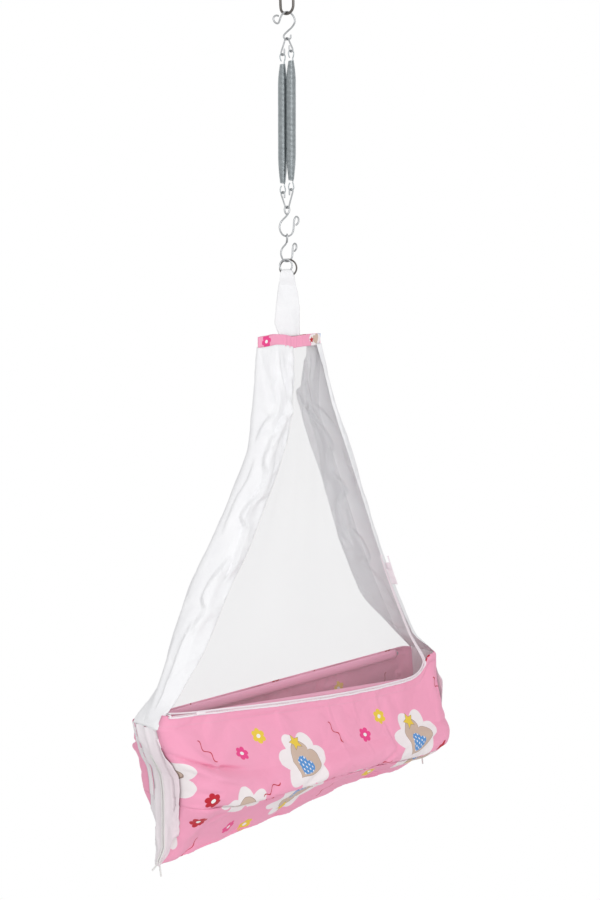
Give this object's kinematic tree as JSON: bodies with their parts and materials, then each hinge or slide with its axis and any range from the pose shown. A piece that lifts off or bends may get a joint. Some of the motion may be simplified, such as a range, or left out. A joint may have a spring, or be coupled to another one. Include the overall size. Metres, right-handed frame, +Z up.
{
  "type": "hanging baby cradle",
  "caption": "Hanging baby cradle: a netted cloth tent over a padded bag, hung by wire hooks, paired springs and rings from a chain link.",
  "frame": {"origin": "top of the chain link that everything hangs from", "axes": "+X along the cradle's length towards the end where the zip rises, -Y the zipped front, +Z up along the hanging line"},
  "size_m": [0.7714, 0.192, 1.6193],
  "materials": {
    "bright_steel": "drawn steel wire, bright zinc plated",
    "dark_steel": "plain steel, worn to a dull brownish grey",
    "spring_steel": "bluish galvanised spring wire",
    "white_cotton": "plain white cotton, soft and slightly creased",
    "net_mesh": "fine white mosquito net, half see-through",
    "printed_cotton": "pink cotton with a scattered print of flowers and dots",
    "zip_nylon": "white nylon coil on woven tape",
    "lath_wood": "planed softwood lath",
    "mattress_cover": "pink cotton cover over soft wadding",
    "tie_cotton": "twisted white cotton cord"
  },
  "bodies": {
    "link": {"chain_link": "dark_steel"},
    "top_hook": {"upper_hook": "bright_steel"},
    "springs": {"upper_bail": "bright_steel", "spring_left": "spring_steel", "spring_right": "spring_steel"},
    "bottom_bail": {"lower_bail": "bright_steel"},
    "middle_hook": {"swivel_hook": "bright_steel"},
    "bottom_hook": {"ring_hook": "bright_steel"},
    "rings": {"large_ring": "dark_steel", "small_ring": "bright_steel"},
    "cradle": {"neck_strap": "white_cotton", "neck_band": "printed_cotton", "band_lath": "lath_wood", "net_front": "net_mesh", "net_back": "net_mesh", "net_end_left": "white_cotton", "net_end_right": "white_cotton", "bag_end_left": "white_cotton", "bag_end_right": "white_cotton", "wall_front": "printed_cotton", "wall_back": "printed_cotton", "bottom_panel": "printed_cotton", "rim_hem_front": "printed_cotton", "rim_hem_back": "printed_cotton", "rim_rod_front": "bright_steel", "rim_rod_back": "bright_steel", "zip_tape_net": "zip_nylon", "zip_tape_wall": "zip_nylon", "zip_teeth": "zip_nylon", "zip_stop_start": "zip_nylon", "zip_stop_end": "zip_nylon", "mattress": "mattress_cover", "tie_cord_left": "tie_cotton", "tie_cord_right": "tie_cotton"},
    "slider": {"zip_slider": "zip_nylon", "zip_pull": "zip_nylon"}
  },
  "joints": [
    {"name": "link_swing", "type": "hinge", "parent": "link", "child": "top_hook", "pos_m": [0, 0, -0.0475], "axis": [0.1736, -0.9848, 0], "range_deg": [-18, 18]},
    {"name": "hook_swing", "type": "hinge", "parent": "top_hook", "child": "springs", "pos_m": [0, 0, -0.094], "axis": [0.9613, -0.2756, 0], "range_deg": [-18, 18]},
    {"name": "spring_bounce", "type": "slide", "parent": "springs", "child": "bottom_bail", "axis": [0, 0, -1], "range_m": [0, 0.12], "stiffness_N_per_m": 900, "springref_m": -0.02, "deforming": ["spring_left", "spring_right"]},
    {"name": "bail_swing", "type": "hinge", "parent": "bottom_bail", "child": "middle_hook", "pos_m": [0, 0, -0.4023], "axis": [0.1736, -0.9848, 0], "range_deg": [-12, 12]},
    {"name": "eye_swing", "type": "hinge", "parent": "middle_hook", "child": "bottom_hook", "pos_m": [0, 0, -0.4543], "axis": [0.9613, -0.2756, 0], "range_deg": [-12, 12]},
    {"name": "ring_swing", "type": "hinge", "parent": "bottom_hook", "child": "rings", "pos_m": [0, 0, -0.5016], "axis": [1, 0, 0], "range_deg": [-12, 12]},
    {"name": "cradle_swing", "type": "hinge", "parent": "rings", "child": "cradle", "pos_m": [-0.003, 0, -0.5212], "axis": [0.6428, -0.766, 0], "range_deg": [-12, 12]},
    {"name": "zip_slide", "type": "slide", "parent": "cradle", "child": "slider", "axis": [0.9957, -0.0007, -0.0931], "range_m": [0, 0.56]}
  ]
}
